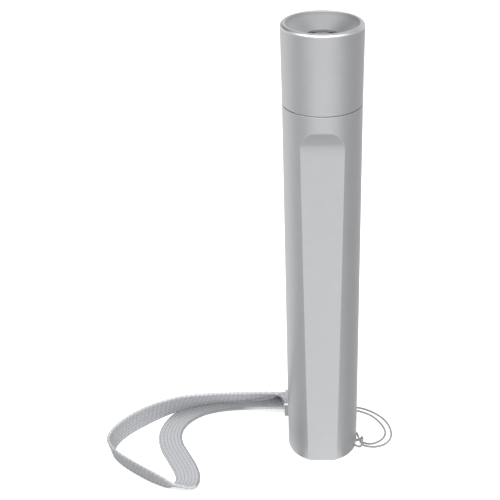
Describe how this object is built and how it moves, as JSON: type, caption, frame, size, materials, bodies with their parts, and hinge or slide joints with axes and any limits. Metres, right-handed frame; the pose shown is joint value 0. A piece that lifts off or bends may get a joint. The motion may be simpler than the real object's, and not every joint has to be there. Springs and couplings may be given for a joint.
{
  "type": "flashlight",
  "caption": "Long cylindrical metal flashlight with a twist head, a flat along its front, a recessed tail, a flat webbing wrist loop and a thin doubled lanyard cord through the tail",
  "frame": {"origin": "centre of the tail end on the body's axis, on the surface that it stands on", "axes": "+Z along the body towards the lens, -Y towards the front flat, +X to the right of someone who faces the flat, where the lanyard cord leaves"},
  "size_m": [0.1243, 0.068, 0.19],
  "materials": {
    "body_metal": "fine bead-blasted and silver anodised, faint turning marks",
    "sink_metal": "turned, bare",
    "clamp_metal": "folded sheet, satin",
    "screw_steel": "bright zinc",
    "spring_steel": "drawn wire, nickel plated",
    "contact_brass": "turned",
    "seal_rubber": "smooth, lightly greased",
    "black_plastic": "moulded, matt",
    "webbing": "ribbed flat weave with picked edges",
    "cord_fibre": "fine braided cord",
    "cell_wrap": "shrink wrap",
    "board_green": "solder mask",
    "board_white": "white solder mask on a metal core",
    "led_lens": "clear dome over phosphor",
    "wire_sleeve": "silicone insulation",
    "lens_glass": "polished dome"
  },
  "bodies": {
    "barrel": {"barrel": "body_metal", "neck_seal": "seal_rubber", "battery_sleeve": "black_plastic", "tail_contact_plate": "contact_brass", "tail_contact_screw": "screw_steel", "tail_spring": "spring_steel", "strap_webbing": "webbing", "strap_clamp": "clamp_metal", "cord_ferrule": "screw_steel", "lanyard_cord": "cord_fibre"},
    "cells": {"cell_rear": "cell_wrap", "cell_front": "cell_wrap"},
    "light_engine": {"heat_sink": "sink_metal", "driver_board": "board_green", "driver_parts": "black_plastic", "driver_ring": "contact_brass", "front_spring": "spring_steel", "engine_clip": "spring_steel", "led_board": "board_white", "led_emitter": "led_lens", "led_collar": "black_plastic", "led_screws": "screw_steel", "led_leads": "wire_sleeve"},
    "head": {"head_shell": "body_metal", "lens": "lens_glass", "lens_seal": "seal_rubber", "lens_ring": "black_plastic"}
  },
  "joints": [
    {"name": "head_travel", "type": "slide", "parent": "barrel", "child": "light_engine", "axis": [0, 0, 1], "range_m": [-0.00025, 0.006]},
    {"name": "head_twist", "type": "hinge", "parent": "light_engine", "child": "head", "pos_m": [0, 0, 0.16], "axis": [0, 0, 1], "range_deg": [-90, 2160]},
    {"name": "cell_slide", "type": "slide", "parent": "barrel", "child": "cells", "axis": [0, 0, 1], "range_m": [-0.0015, 0], "stiffness_N_per_m": 800, "springref_m": 0.002, "deforming": ["tail_spring"]}
  ],
  "couplings": [
    {"joint": "head_twist", "follows": "head_travel", "rad_per_m": 6283.2}
  ]
}
